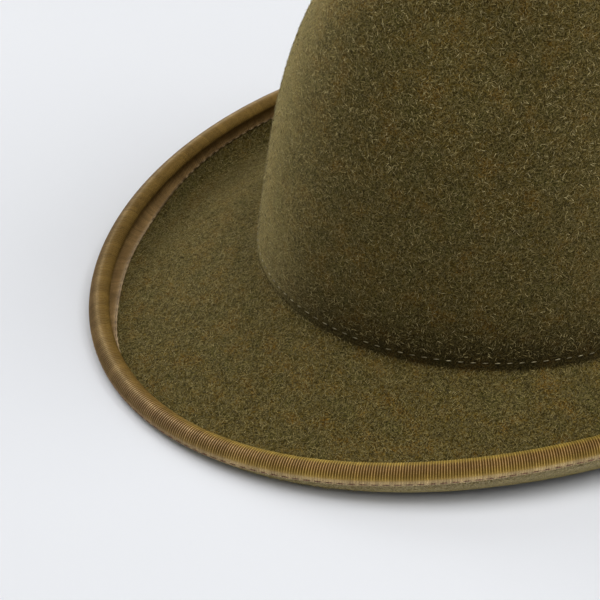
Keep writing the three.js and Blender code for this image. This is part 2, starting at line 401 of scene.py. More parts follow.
def roughen(tree, shader, height, strength, distance):
    """Fine relief on a shader."""
    bump = node(tree, "ShaderNodeBump", {
        "Height": height, "Strength": strength, "Distance": distance,
    })
    tree.links.new(bump.outputs["Normal"], shader.inputs["Normal"])


def object_place(tree):
    return node(tree, "ShaderNodeTexCoord").outputs["Object"]


def cloud(tree, place, scale, detail, roughness=0.5):
    """Soft noise of that scale."""
    return node(tree, "ShaderNodeTexNoise", {
        "Vector": place, "Scale": scale, "Detail": detail, "Roughness": roughness,
    })


def greys(*stops):
    """Ramp stops in grey."""
    return [(place, (value,) * 3) for place, value in stops]


def ramp(tree, factor, stops):
    """A colour ramp over that factor."""
    made = node(tree, "ShaderNodeValToRGB", {"Fac": factor})
    elements = made.color_ramp.elements
    while len(elements) < len(stops):
        elements.new(0.5)
    for element, (place, colour) in zip(elements, stops):
        element.position = place
        element.color = (*colour, 1)
    return made.outputs["Color"]


def blend(tree, factor, under, over, mode="MIX"):
    """One colour laid over another."""
    made = node(tree, "ShaderNodeMix", data_type="RGBA", blend_type=mode)
    for index, value in ((0, factor), (6, under), (7, over)):
        if isinstance(value, bpy.types.NodeSocket):
            tree.links.new(value, made.inputs[index])
        elif index == 0:
            made.inputs[index].default_value = value
        else:
            made.inputs[index].default_value = (*value, 1)
    return made.outputs[2]


def multiply(tree, under, over):
    return blend(tree, 1.0, under, over, "MULTIPLY")


def maths(tree, operation, *values):
    return node(tree, "ShaderNodeMath", dict(enumerate(values)), operation=operation).outputs[0]


def vector_maths(tree, operation, a, b=None, scale=None):
    values = {0: a}
    if b is not None:
        values[1] = b
    if scale is not None:
        values["Scale"] = scale
    made = node(tree, "ShaderNodeVectorMath", values, operation=operation)
    return made.outputs["Value" if operation == "DOT_PRODUCT" else "Vector"]


def ease(tree, value, low, high):
    """From 0 at low to 1 at high, with soft ends."""
    return node(tree, "ShaderNodeMapRange", {
        "Value": value, "From Min": low, "From Max": high,
    }, interpolation_type="SMOOTHSTEP").outputs[0]


def new_group(name, inputs, outputs):
    """A node group with its named sockets, and its input and output nodes."""
    tree = bpy.data.node_groups.new(name, "ShaderNodeTree")
    for label, kind, default in inputs:
        socket = tree.interface.new_socket(label, in_out="INPUT", socket_type=kind)
        if default is not None:
            socket.default_value = default
    for label, kind in outputs:
        tree.interface.new_socket(label, in_out="OUTPUT", socket_type=kind)
    return tree, tree.nodes.new("NodeGroupInput"), tree.nodes.new("NodeGroupOutput")


# The felt's fibres in the wool group: three directions, each with a shift of the pattern.
FIBRE_LAYS = (((0.3, 1.2, 0.2), 0.0), ((1.5, 0.2, 0.4), 0.37), ((0.7, 0.8, 2.2), 0.71))
FIBRE_STRETCH = 5.5
FIBRE_BEND = 0.0011


def make_wool_group():
    """Matted wool: broad clouds, fine grain and short fibres lying in three directions."""
    tree, source, result = new_group(
        "matted wool",
        [("Position", "NodeSocketVector", None), ("Grain Size", "NodeSocketFloat", 1.0)],
        [(label, "NodeSocketFloat") for label in ("Clouds", "Grain", "Fibres", "Height")],
    )
    position, size = source.outputs["Position"], source.outputs["Grain Size"]
    clouds = cloud(tree, position, 110, 4, 0.6).outputs["Fac"]
    grain = cloud(tree, position, maths(tree, "DIVIDE", 1500, size), 3, 0.75).outputs["Fac"]
    bent = node(tree, "ShaderNodeMapRange", {
        "Vector": cloud(tree, position, 420, 1).outputs["Color"],
        "To Min": (-FIBRE_BEND,) * 3, "To Max": (FIBRE_BEND,) * 3,
    }, data_type="FLOAT_VECTOR").outputs["Vector"]
    curled = vector_maths(tree, "ADD", position, bent)
    layers = []
    for turn, shift in FIBRE_LAYS:
        placed = node(tree, "ShaderNodeMapping", {
            "Vector": curled, "Location": (shift,) * 3, "Rotation": turn,
            "Scale": (1, 1, FIBRE_STRETCH),
        }, vector_type="TEXTURE").outputs["Vector"]
        layers.append(cloud(tree, placed, maths(tree, "DIVIDE", 2000, size), 1).outputs["Fac"])
    strokes = maths(tree, "MAXIMUM", maths(tree, "MAXIMUM", layers[0], layers[1]), layers[2])
    fibres = node(tree, "ShaderNodeMapRange", {
        "Value": strokes, "From Min": 0.57, "From Max": 0.72,
    }).outputs[0]
    relief = maths(tree, "MULTIPLY", grain, 0.5)
    height = maths(tree, "ADD", relief, maths(tree, "MULTIPLY", fibres, 0.6))
    for label, value in (("Clouds", clouds), ("Grain", grain), ("Fibres", fibres), ("Height", height)):
        tree.links.new(value, result.inputs[label])
    return tree


def make_felt_material(wool):
    """Olive felt, paler on the under face below the ribbon with painted light that stands in for light
    bounced off the floor, and darker near the crown line and in the groove with painted shade, where the
    felt is also flattened. A point attribute gives each."""
    material, tree, shader = new_material("olive wool felt")
    matted = node(tree, "ShaderNodeGroup", node_tree=wool)
    tree.links.new(object_place(tree), matted.inputs["Position"])
    grain = ramp(tree, matted.outputs["Grain"], [
        (0.34, (0.01, 0.0068, 0.0008)), (0.5, (0.046, 0.032, 0.0058)), (0.66, (0.14, 0.1, 0.022)),
    ])
    clouds = ramp(tree, matted.outputs["Clouds"], [
        (0.34, (0.85, 1.0, 1.08)), (0.46, (0.82, 0.84, 0.78)), (0.54, (1.08, 1.05, 0.92)),
        (0.66, (1.4, 1.12, 0.78)),
    ])
    flecks = blend(tree, matted.outputs["Clouds"], (0.25, 0.18, 0.062), (0.18, 0.17, 0.074))
    strength = maths(tree, "MULTIPLY", matted.outputs["Fibres"], 0.65)
    fibrous = blend(tree, strength, multiply(tree, grain, clouds), flecks)
    # Painted shade near the crown line and in the groove, where the felt is also flattened.
    crease_shade = node(tree, "ShaderNodeAttribute", attribute_name="crease_shade").outputs["Fac"]
    crease_shaded = blend(tree, crease_shade, fibrous, multiply(tree, fibrous, (0.42, 0.4, 0.36)))
    # Painted light on the under face below the ribbon, standing in for light bounced off the floor.
    bounce_light = node(tree, "ShaderNodeAttribute", attribute_name="bounce_light").outputs["Fac"]
    pale = ramp(tree, matted.outputs["Grain"], [(0.35, (0.2, 0.16, 0.08)), (0.65, (0.55, 0.46, 0.27))])
    bounce_lit = blend(tree, maths(tree, "MULTIPLY", bounce_light, 0.85), crease_shaded, pale)
    tree.links.new(bounce_lit, shader.inputs["Base Color"])
    roughen(tree, shader, matted.outputs["Height"], 0.42, 0.0006)
    finish(shader, {
        "Roughness": 0.95, "Specular IOR Level": 0.08,
        "Sheen Weight": 0.75, "Sheen Roughness": 0.35, "Sheen Tint": (0.95, 0.78, 0.32, 1),
    })
    return material


# The ribbon's v at its far end, and the turn of the side where the light crosses the ribs, where the
# painted rib shading is strongest.
RIBBON_END = 4
RIB_SHADE_TURN = math.radians(80)


def rib_wave(tree, turns):
    """1 on each rib's crest and -1 in each valley."""
    return maths(tree, "COSINE", maths(tree, "MULTIPLY", turns, TURN))


def make_ribbon_material():
    """Ribbed ribbon. Its ribs are shaped and also painted: pale painted highlights on the crests and
    painted shade in the valleys. The painted rib shading is strong on the outer side, between a smooth
    golden edge and the top of the roll, and weaker over the top and on the inner leg. Towards the hat's
    front and back, where the light runs along the ribs, it fades, and the colour turns from the sides'
    one, with its painted highlight along the top of the roll, to a browner one with a painted highlight
    on the roll's ridge and painted shade in the crevice under it."""
    material, tree, shader = new_material("ribbed olive ribbon")
    uv = node(tree, "ShaderNodeUVMap", uv_map="ribs").outputs["UV"]
    parts = node(tree, "ShaderNodeSeparateXYZ", {"Vector": uv})
    along = parts.outputs["X"]
    share = maths(tree, "MULTIPLY", parts.outputs["Y"], 1 / RIBBON_END)
    place = object_place(tree)
    stain = cloud(tree, place, 130, 3, 0.6).outputs["Fac"]
    thread = cloud(tree, place, 2600, 2).outputs["Fac"]
    # Colours on the hat's sides: the pale selvedge, a smooth golden edge, a painted highlight along the
    # top of the roll (0.195 to 0.26) and painted shade where the ribbon wraps under the roll's edge
    # (0.4).
    sides = ramp(tree, share, [
        (0.0, (0.56, 0.42, 0.23)), (0.02, (0.5, 0.37, 0.18)), (0.038, (0.34, 0.23, 0.06)),
        (0.06, (0.22, 0.145, 0.03)), (0.09, (0.175, 0.11, 0.027)), (0.12, (0.155, 0.093, 0.028)),
        (0.165, (0.15, 0.09, 0.022)), (0.195, (0.22, 0.15, 0.028)), (0.26, (0.24, 0.17, 0.03)),
        (0.4, (0.1, 0.062, 0.018)), (0.9, (0.15, 0.095, 0.032)), (1.0, (0.25, 0.165, 0.08)),
    ])
    # Colours at the front and back: the selvedge, a painted highlight on the roll's ridge (0.145),
    # painted shade in the crevice under the roll (0.48 to 0.77), and the inner strip beyond it painted
    # lighter against the roll's shadow.
    ends = ramp(tree, share, [
        (0.0, (0.36, 0.25, 0.14)), (0.03, (0.17, 0.108, 0.042)), (0.09, (0.14, 0.088, 0.038)),
        (0.12, (0.18, 0.12, 0.052)), (0.145, (0.27, 0.19, 0.085)), (0.17, (0.18, 0.112, 0.036)),
        (0.2, (0.15, 0.09, 0.022)), (0.3, (0.15, 0.09, 0.021)), (0.4, (0.125, 0.075, 0.017)),
        (0.48, (0.055, 0.033, 0.006)), (0.77, (0.06, 0.036, 0.007)), (0.85, (0.2, 0.122, 0.043)),
        (0.96, (0.25, 0.155, 0.062)), (0.99, (0.36, 0.26, 0.15)),
    ])
    # How near each place is to that side. It leans the colour from the front and back ramp to the side
    # ramp, and sets how much painted rib shading shows.
    turned = maths(tree, "SUBTRACT", maths(tree, "MULTIPLY", along, TURN / RIBS), RIB_SHADE_TURN)
    towards_side = maths(tree, "COSINE", turned)
    base = blend(tree, ease(tree, towards_side, 0.25, 0.75), ends, sides)
    mottle = ramp(tree, stain, [(0.34, (0.82, 0.8, 0.78)), (0.66, (1.16, 1.16, 1.14))])
    toned = multiply(tree, base, mottle)
    # Painted rib shading: pale painted highlights on the crests and dark painted shade in the valleys,
    # over the ribs' real relief.
    ribs = ramp(tree, maths(tree, "MULTIPLY_ADD", rib_wave(tree, along), 0.5, 0.5), [
        (0.0, (0.34, 0.24, 0.02)), (0.5, (0.55, 0.42, 0.1)), (0.8, (1.25, 1.25, 1.4)),
        (1.0, (2.5, 2.6, 3.9)),
    ])
    # How strongly the painted rib shading shows, up the section and round the hat; it fades where the
    # light runs along the ribs.
    strength = multiply(
        tree,
        ramp(tree, share, greys(
            (0.03, 0.0), (0.06, 0.6), (0.1, 0.9), (0.165, 1.0), (0.195, 0.4), (0.28, 0.25), (0.4, 0.1),
        )),
        ramp(tree, ease(tree, towards_side, 0.12, 0.42), greys((0.0, 0.1), (1.0, 1.0))),
    )
    ribbed = blend(tree, strength, toned, multiply(tree, toned, ribs))
    index = node(tree, "ShaderNodeCombineXYZ", {"X": maths(tree, "ROUND", along)}).outputs[0]
    tone = node(tree, "ShaderNodeTexWhiteNoise", {"Vector": index}, noise_dimensions="3D")
    each = ramp(tree, tone.outputs["Value"], greys((0.0, 0.86), (1.0, 1.12)))
    warp = ramp(tree, thread, greys((0.35, 0.8), (0.65, 1.2)))
    coloured = multiply(tree, multiply(tree, ribbed, each), warp)
    tree.links.new(coloured, shader.inputs["Base Color"])
    roughen(tree, shader, thread, 0.3, 0.0002)
    finish(shader, {
        "Roughness": 0.6, "Specular IOR Level": 0.25, "Specular Tint": (1, 0.7, 0.32, 1),
        "Sheen Weight": 0.05, "Sheen Roughness": 0.4, "Sheen Tint": (0.8, 0.6, 0.3, 1),
    })
    return material


def make_band_material():
    material, tree, shader = new_material("dark band cloth")
    uv = node(tree, "ShaderNodeUVMap", uv_map="ribs").outputs["UV"]
    wave = rib_wave(tree, node(tree, "ShaderNodeSeparateXYZ", {"Vector": uv}).outputs["X"])
    slub = cloud(tree, object_place(tree), 400, 3).outputs["Fac"]
    cloth = ramp(tree, slub, [(0.3, (0.03, 0.023, 0.011)), (0.7, (0.075, 0.06, 0.03))])
    # Darker rib valleys and paler crests in colour: painted shade and highlight on the band's ribs.
    ribbed = multiply(tree, cloth, ramp(tree, wave, greys((0.0, 0.6), (1.0, 1.1))))
    tree.links.new(ribbed, shader.inputs["Base Color"])
    roughen(tree, shader, wave, 0.4, 0.0003)
    finish(shader, {"Roughness": 0.7})
    return material


def make_thread_material(name, dark, light):
    material, tree, shader = new_material(name)
    twist = cloud(tree, object_place(tree), 700, 3).outputs["Fac"]
    colour = ramp(tree, twist, [(0.35, dark), (0.65, light)])
    tree.links.new(colour, shader.inputs["Base Color"])
    finish(shader, {"Roughness": 0.6})
    return material


# The felt body: the stitches run a little above the crown line and draw the felt in, and a groove runs
# below it. Painted shade darkens the felt in the groove and just above the line, where the felt is also
# flattened.
STITCH_RISE = 0.5
PUCKER_DEPTH = 0.16
PUCKER_DEPTH_AT_STITCH = 0.2
PUCKER_HALF_WIDTH = 1.3
GROOVE_DROP = 2.6
GROOVE_DEPTH = 0.45
GROOVE_HALF_WIDTH = 1.0
# How far above the crown line the painted shade fades out.
SHADE_REACH = 13

# Stations up the crown's rows: close together low on the wall, then evenly to the top.
LOW_STATIONS = (0, 0.06, 0.12, 0.18, 0.27, 0.4, 0.58, 0.78)
STATION_STEP = 0.34
LAST_STATION = 11.9

# Unevenness left by blocking and handling: how far it lifts the felt, the size of its waves and
# their shift. It fades out towards the brim's edge and towards the crown line.
HANDLING_WAVES = ((0.55, 34, (0, 0, 0)), (0.28, 13, (7, 3, 5)))
CALM_EDGE = 22
EDGE_FADE = 16
LINE_FADE = 14


def felt_stations():
    """Places up the crown rows, and stations out along the brim."""
    crown = np.concatenate([LOW_STATIONS, np.arange(1, 12, STATION_STEP)])
    crown = crown[crown < LAST_STATION]
    breaks = np.arange(1, 9) / 8
    fall = np.arange(1, 12) / 11
    legs = np.array([0.8, 0.63, 0.49, 0.37, 0.26, 0.17, 0.09])
    roll = np.arange(0, 9) / 8
    return crown, breaks, fall, legs, roll


def handling(points):
    """How far handling lifts each point out of the surface."""
    lifts = [
        sum(lift * noise.noise(Vector(p) / size + Vector(shift)) for lift, size, shift in HANDLING_WAVES)
        for p in points.reshape(-1, 3)
    ]
    return np.array(lifts).reshape(points.shape[:2])


def set_point_values(mesh, name, by_row):
    """A point attribute from each point's row."""
    row = mesh.verts.layers.int["row"]
    layer = mesh.verts.layers.float.new(name)
    for vert in mesh.verts:
        vert[layer] = by_row[vert[row]]


def sheet_rows(surface):
    return [surface[:, k] for k in range(surface.shape[1])]


def build_felt(material):
    count = CROWN_STITCHES * STEPS_PER_STITCH
    turns = even_turns(count)
    crown, breaks, fall, legs, roll = felt_stations()
    wall = crown_surface(turns, crown)[:, ::-1]
    brim = brim_surface(turns, breaks, fall, legs, roll)
    middle = np.concatenate([wall, brim], axis=1)
    normals, _ = surface_normals(middle)
    line_row = len(crown) - 1
    steps = np.linalg.norm(np.diff(middle, axis=1), axis=2)
    run = np.concatenate([np.zeros((count, 1)), np.cumsum(steps, axis=1)], axis=1)
    run = run - run[:, line_row:line_row + 1]
    edge_gap = run[:, -1:] - run
    fade = np.clip((edge_gap - CALM_EDGE) / EDGE_FADE, 0, 1) * np.clip(np.abs(run) / LINE_FADE, 0, 1)
    middle = middle + normals * (handling(middle) * fade)[..., None]
    at_stitch = np.arange(count) % STEPS_PER_STITCH == 0
    pucker_depth = (PUCKER_DEPTH + PUCKER_DEPTH_AT_STITCH * at_stitch)[:, None]
    pucker = np.exp(-((run + STITCH_RISE) / PUCKER_HALF_WIDTH) ** 2) * pucker_depth
    groove = GROOVE_DEPTH * np.exp(-((run - GROOVE_DROP) / GROOVE_HALF_WIDTH) ** 2)
    shown = middle + normals * (FELT / 2 - pucker - groove)[..., None]
    under = middle - normals * FELT / 2
    under[..., 2] = np.maximum(under[..., 2], 0)
    top = middle[:, 0].mean(axis=0)
    mesh = loft(
        sheet_rows(shown) + sheet_rows(under)[::-1],
        (top + (0, 0, FELT / 2), top - (0, 0, FELT / 2)),
    )
    # The under face gets painted bounce light from the ribbon's selvedge outwards, and the shown face
    # gets painted shade near the crown line, where it is also flattened.
    selvedge = line_row + len(breaks) + len(fall)
    plain = np.zeros(middle.shape[1])
    bounce_lit = np.interp(np.arange(middle.shape[1]), (selvedge - 1, selvedge + 3), (0, 1))
    above = np.exp(-(np.minimum(run, 0) / SHADE_REACH) ** 2)
    below = np.exp(-(np.maximum(run - GROOVE_DROP, 0) / GROOVE_HALF_WIDTH) ** 2)
    crease_shaded = (above * below).mean(axis=0)
    set_point_values(mesh, "bounce_light", np.concatenate([plain, bounce_lit[::-1]]))
    set_point_values(mesh, "crease_shade", np.concatenate([crease_shaded, plain]))
    piece = smooth_piece("felt_hat_body", mesh, material)
    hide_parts("felt_body")
    return shown, under, middle, normals, line_row


# The ribbon round the curled edge. Each rib has a crest and a valley, and RIB_SOFTENING gives
# the valley's depth along v. The stitches draw the inner selvedge into small waves.
RIB_DEPTH = 0.32
RIB_SOFTENING = ((0.5, 1.0, 2.0), (1.0, 0.5, 0.25))
SCALLOP = 0.11

# Shares of the ribbon's leg, of the roll and of the turn round the felt's edge where its rows
# lie, and which of them the face against the felt uses.
LEG_SHARES = np.array([1, 0.95, 0.82, 0.66, 0.5, 0.36, 0.23, 0.12])
ROLL_SHARES = np.arange(0, 8) / 7
WRAP_SHARES = (0.25, 0.5, 0.75)
NEAR_LEG_ROWS = (0, 2, 4, 6)
NEAR_ROLL_ROWS = (0, 2, 4, 6, 7)

# v at the top of the outer leg, at the felt's edge and at the foot of the roll's inside.
OUTER_LEG_V = 0.04
INNER_ROLL_V = 0.9
INNER_LEG_V = 3.03


def build_ribbon(material):
    """The ribbon's section, carried round the hat: its outer face with ribs, its inner face
    against the felt. v is 0 to 1 up the outside, to 2 round the felt's edge, to 3 down the
    inside of the roll and to 4 along the inner leg."""
    count = RIBS * STEPS_PER_RIB
    turns = even_turns(count, BRIM_FRONT, BRIM_SIDE, BRIM_BACK)
    middle = brim_surface(turns, np.array([1.0]), np.array([0.9]), LEG_SHARES, ROLL_SHARES)
    normals, along = surface_normals(middle)
    middle, normals, along = middle[:, 2:], normals[:, 2:], along[:, 2:]
    foot = len(LEG_SHARES)
    valleys = (np.arange(count) % STEPS_PER_RIB)[:, None]
    scallop = SCALLOP * np.cos(np.arange(count) / count * TURN * RIBBON_STITCHES)[:, None]

    def section(distance, depth, legs, rolls, wraps):
        leg_v = RIBBON_END - INNER_LEG_V
        rows = [(foot, -1, 0.0)]
        rows += [(foot + 1 + k, -1, OUTER_LEG_V + (1 - OUTER_LEG_V) * ROLL_SHARES[k]) for k in rolls]
        rows += [(-1, share, 1 + share) for share in wraps]
        rows += [(foot + 1 + k, 1, 3 - INNER_ROLL_V * ROLL_SHARES[k]) for k in reversed(rolls)]
        rows += [(foot, 1, INNER_LEG_V)]
        rows += [(k, 1, INNER_LEG_V + leg_v * LEG_SHARES[k]) for k in reversed(legs)]
        places = []
        for k, side, v in rows:
            out = side * normals[:, k]
            if k == -1:
                turn = math.pi * side
                out = along[:, -1] * math.sin(turn) - normals[:, -1] * math.cos(turn)
            place = middle[:, k] + out * (distance - depth * np.interp(v, *RIB_SOFTENING) * valleys)
            if k == 0:
                place = place + along[:, 0] * scallop
            places.append(place)
        return places, [v for _, _, v in rows]

    shown, shown_v = section(
        BINDING, RIB_DEPTH, range(len(LEG_SHARES)), range(len(ROLL_SHARES)), WRAP_SHARES,
    )
    near, near_v = section(NEAR_FACE, 0.0, NEAR_LEG_ROWS, NEAR_ROLL_ROWS, (0.5,))
    mesh = loft(shown + near[::-1] + shown[:1], "loop")
    across = shown_v + near_v[::-1] + shown_v[:1]
    map_ring(mesh, "ribs", count, np.arange(count + 1) / STEPS_PER_RIB, across)
    column = mesh.verts.layers.int["column"]
    for edge in mesh.edges:
        edge.smooth = edge.verts[0][column] != edge.verts[1][column]
    piece = smooth_piece("edge_ribbon", mesh, material)
    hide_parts("ribbon_binding")
    return middle, normals, along, foot, turns


# The band inside the crown, with fine ribs on the face that touches the head.
BAND_COLUMNS = 720
BAND_ROWS = 10
BAND_RIB_DEPTH = 0.2


def build_band(material):
    turns = even_turns(BAND_COLUMNS)
    heights = np.linspace(0, BAND_HEIGHT / CROWN_HEIGHT, BAND_ROWS)
    places = np.interp(heights, CROWN_ROWS[:5, 0], np.arange(5))
    middle = crown_surface(turns, places)[:, ::-1]
    normals, _ = surface_normals(middle)
    valleys = (np.arange(BAND_COLUMNS) % STEPS_PER_RIB)[:, None, None]
    inner = sheet_rows(middle - normals * (NEAR_FACE + BAND - BAND_RIB_DEPTH * valleys))
    outer = sheet_rows(middle - normals * NEAR_FACE)
    rings = inner + outer[::-1] + inner[:1]
    mesh = loft(rings, "loop")
    across = running_total([np.linalg.norm(b[0] - a[0]) for a, b in zip(rings, rings[1:])])
    map_ring(mesh, "ribs", BAND_COLUMNS, np.arange(BAND_COLUMNS + 1) / STEPS_PER_RIB, across)
    piece = smooth_piece("inner_cloth_band", mesh, material)
    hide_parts("inner_band")


# Stitches: half their length, their radius, their height as a share of that, how far the
# crown's ones turn out of their row, and how far a row stands over the felt or sinks into the
# ribbon.
CROWN_STITCH = 1.15
RIBBON_STITCH = 1.5
STITCH_RADIUS = 0.2
STITCH_FLATNESS = 0.8
CROWN_STITCH_TILT = 0.08
STITCH_PROUD = 0.02
STITCH_SUNK = 0.07


def stitch_row(name, places, out, half_length, material, tilt=0.0):
    """A row of small sewn stitches, each a slim bead that dips into the cloth at its ends."""
    mesh = bmesh.new()
    ahead = np.roll(places, -1, axis=0) - np.roll(places, 1, axis=0)
    for place, forward, up in zip(places, ahead, out):
        up = Vector(up).normalized()
        forward = Vector(forward).normalized()
        forward = (Matrix.Rotation(tilt, 3, up) @ forward).normalized()
        side = up.cross(forward).normalized()
        up = forward.cross(side)
        turn = Matrix((forward, side, up)).transposed().to_4x4()
        size = Matrix.Diagonal((half_length, STITCH_RADIUS, STITCH_RADIUS * STITCH_FLATNESS, 1))
        bmesh.ops.create_uvsphere(
            mesh, u_segments=8, v_segments=5, radius=MM,
            matrix=Matrix.Translation(Vector(place) * MM) @ turn @ size,
        )
    bmesh.ops.recalc_face_normals(mesh, faces=mesh.faces)
    piece = smooth_piece(name, mesh, material)


def row_places(surface, turns, wanted):
    """A surface's ring read at other steps round the hat."""
    order = np.append(turns, TURN)
    ring = np.vstack([surface, surface[:1]])
    return np.stack([np.interp(wanted, order, ring[:, a]) for a in range(3)], axis=1)


# The nap: short fibres standing out of the felt. Lengths of the fibres vary by NAP_SPREAD, and
# none grows lower than NAP_CLEAR, where the felt lies on the floor.
FIBRE_RADIUS = 0.1
FIBRE_LENGTH = 1.5
NAP_SPREAD = (0.5, 1.5)
NAP_STAND = (0.03, 0.55)
NAP_CLEAR = 1.8
FIBRE_CENTRE = 0.45
BAKE_MAP = "OFBake"
BAKE_STRIP = 0.003
BAKE_SPREAD = 0.99


def make_fibre():
    """One slim closed fibre, pointing up, with its own strip of the bake map."""
    mesh = bmesh.new()
    bmesh.ops.create_cone(
        mesh, cap_ends=True, segments=3, radius1=FIBRE_RADIUS * MM, radius2=0,
        depth=FIBRE_LENGTH * MM,
        matrix=Matrix.Translation((0, 0, FIBRE_LENGTH * FIBRE_CENTRE * MM)),
    )
    bmesh.ops.remove_doubles(mesh, verts=mesh.verts, dist=MERGE_GAP)
    bmesh.ops.recalc_face_normals(mesh, faces=mesh.faces)
    layer = mesh.loops.layers.uv.new(BAKE_MAP)
    for face in mesh.faces:
        for k, loop in enumerate(face.loops):
            height = loop.vert.co.z / (FIBRE_LENGTH * MM)
            loop[layer].uv = (BAKE_STRIP * k, 0.1 + 0.8 * height)
    return bpy.data.objects.new("fibre", to_data("fibre", mesh))


def make_nap_nodes(name, density, seed, painted_light_tones, fibre):
    """Fibres scattered over a mesh, leaning every way but into it, and made solid."""
    tree = bpy.data.node_groups.new(name, "GeometryNodeTree")
    tree.interface.new_socket("Geometry", in_out="INPUT", socket_type="NodeSocketGeometry")
    tree.interface.new_socket("Geometry", in_out="OUTPUT", socket_type="NodeSocketGeometry")
    ground = tree.nodes.new("NodeGroupInput")
    result = tree.nodes.new("NodeGroupOutput")
    spots = node(tree, "GeometryNodeDistributePointsOnFaces", {
        "Mesh": ground.outputs[0], "Density": density, "Seed": seed,
    }, distribute_method="RANDOM")
    up = spots.outputs["Normal"]
    place = node(tree, "GeometryNodeInputPosition").outputs[0]
    height = node(tree, "ShaderNodeSeparateXYZ", {"Vector": place}).outputs["Z"]
    low = node(tree, "FunctionNodeCompare", {0: height, 1: NAP_CLEAR * MM}, operation="LESS_THAN")
    clear = node(tree, "GeometryNodeDeleteGeometry", {
        "Geometry": spots.outputs["Points"], "Selection": low.outputs[0],
    })
    lean = node(tree, "FunctionNodeRandomValue", {
        "Min": (-1, -1, -1), "Max": (1, 1, 1), "Seed": seed + 1,
    }, data_type="FLOAT_VECTOR").outputs[0]
    into = vector_maths(tree, "SCALE", up, scale=vector_maths(tree, "DOT_PRODUCT", lean, up))
    flat = vector_maths(tree, "NORMALIZE", vector_maths(tree, "SUBTRACT", lean, into))
    stand = node(tree, "FunctionNodeRandomValue", {2: NAP_STAND[0], 3: NAP_STAND[1], "Seed": seed + 2})
    aim = vector_maths(tree, "ADD", flat, vector_maths(tree, "SCALE", up, scale=stand.outputs[1]))
    turned = node(tree, "FunctionNodeAlignEulerToVector", {"Vector": aim}, axis="Z")
    size = node(tree, "FunctionNodeRandomValue", {2: NAP_SPREAD[0], 3: NAP_SPREAD[1], "Seed": seed + 3})
    shape = node(tree, "GeometryNodeObjectInfo", {"Object": fibre})
    copies = node(tree, "GeometryNodeInstanceOnPoints", {
        "Points": clear.outputs[0], "Instance": shape.outputs["Geometry"],
        "Rotation": turned.outputs[0], "Scale": size.outputs[1],
    })
    tone = node(tree, "FunctionNodeRandomValue", {2: painted_light_tones[0], 3: painted_light_tones[1], "Seed": seed + 4})
    stored = node(tree, "GeometryNodeStoreNamedAttribute", {
        "Geometry": copies.outputs["Instances"], "Name": "tone", "Value": tone.outputs[1],
    }, data_type="FLOAT", domain="INSTANCE")
    solid = node(tree, "GeometryNodeRealizeInstances", {"Geometry": stored.outputs[0]})
    own = node(tree, "GeometryNodeInputNamedAttribute", {"Name": BAKE_MAP}, data_type="FLOAT_VECTOR")
    kept = node(tree, "GeometryNodeInputNamedAttribute", {"Name": "tone"}, data_type="FLOAT")
    across = maths(tree, "MULTIPLY", kept.outputs[0], BAKE_SPREAD)
    shift = node(tree, "ShaderNodeCombineXYZ", {"X": across})
    mapped = node(tree, "GeometryNodeStoreNamedAttribute", {
        "Geometry": solid.outputs[0], "Name": BAKE_MAP,
        "Value": vector_maths(tree, "ADD", own.outputs[0], shift.outputs[0]),
    }, data_type="FLOAT2", domain="CORNER")
    tree.links.new(mapped.outputs[0], result.inputs[0])
    return tree


def build_nap(name, surface, outward, material, amount, seed, painted_light_tones):
    """The nap over a stretch of the felt's face, given as columns of points. amount is about how many
    fibres it has, and the last argument gives their darkest and palest shade, from 0 to 1, which each
    stretch sets partly to paint light and shade."""
    ground = loft(sheet_rows(surface), "open")
    column = ground.verts.layers.int["column"]
    row = ground.verts.layers.int["row"]

    def order(face):
        """Extruding leaves the faces in no fixed order, and the fibres' places follow it."""
        columns = [corner[column] for corner in face.verts]
        first = max(columns) if max(columns) - min(columns) > 1 else min(columns)
        return min(corner[row] for corner in face.verts) * len(surface) + first

    ground.faces.sort(key=order)
    face = next(iter(ground.faces))
    corner = face.verts[0]
    if face.normal.dot(Vector(outward[corner[column], corner[row]])) < 0:
        bmesh.ops.reverse_faces(ground, faces=ground.faces)
    density = amount / sum(face.calc_area() for face in ground.faces)
    holder = place_object(name + "_ground", to_data(name + "_ground", ground))
    fibre = make_fibre()
    nodes = holder.modifiers.new("fibres", "NODES")
    nodes.node_group = make_nap_nodes(name, density, seed, painted_light_tones, fibre)
    bpy.context.view_layer.update()
    grown = holder.evaluated_get(bpy.context.evaluated_depsgraph_get())
    ready = bpy.data.meshes.new_from_object(grown)
    bpy.data.objects.remove(holder)
    bpy.data.objects.remove(fibre)
    ready.name = name
    ready.materials.clear()
    piece = to_piece(name, ready, material)


def make_fibre_material():
    material, tree, shader = new_material("loose wool fibre")
    tone = node(tree, "ShaderNodeAttribute", attribute_name="tone")
    colour = ramp(tree, tone.outputs["Fac"], [
        (0.0, (0.012, 0.0085, 0.0015)), (0.35, (0.05, 0.036, 0.008)), (0.62, (0.15, 0.112, 0.032)),
        (0.86, (0.3, 0.24, 0.092)), (1.0, (0.5, 0.43, 0.22)),
    ])
    tree.links.new(colour, shader.inputs["Base Color"])
    finish(shader, {
        "Roughness": 0.85, "Specular IOR Level": 0.15,
        "Sheen Weight": 1.0, "Sheen Roughness": 0.5, "Sheen Tint": (1, 0.84, 0.42, 1),
    })
    return material


# The pieces.

wool_group = make_wool_group()
felt_material = make_felt_material(wool_group)
ribbon_material = make_ribbon_material()
light_thread = make_thread_material("light olive thread", (0.1, 0.082, 0.035), (0.42, 0.36, 0.2))
brown_thread = make_thread_material("brown thread", (0.09, 0.028, 0.014), (0.17, 0.06, 0.03))
pale_thread = make_thread_material("pale brown thread", (0.14, 0.09, 0.045), (0.24, 0.16, 0.09))

felt_shown, felt_under, felt_middle, felt_normals, line_row = build_felt(felt_material)
ribbon_middle, ribbon_normals, ribbon_along, outer_row, ribbon_turns = build_ribbon(ribbon_material)
build_band(make_band_material())

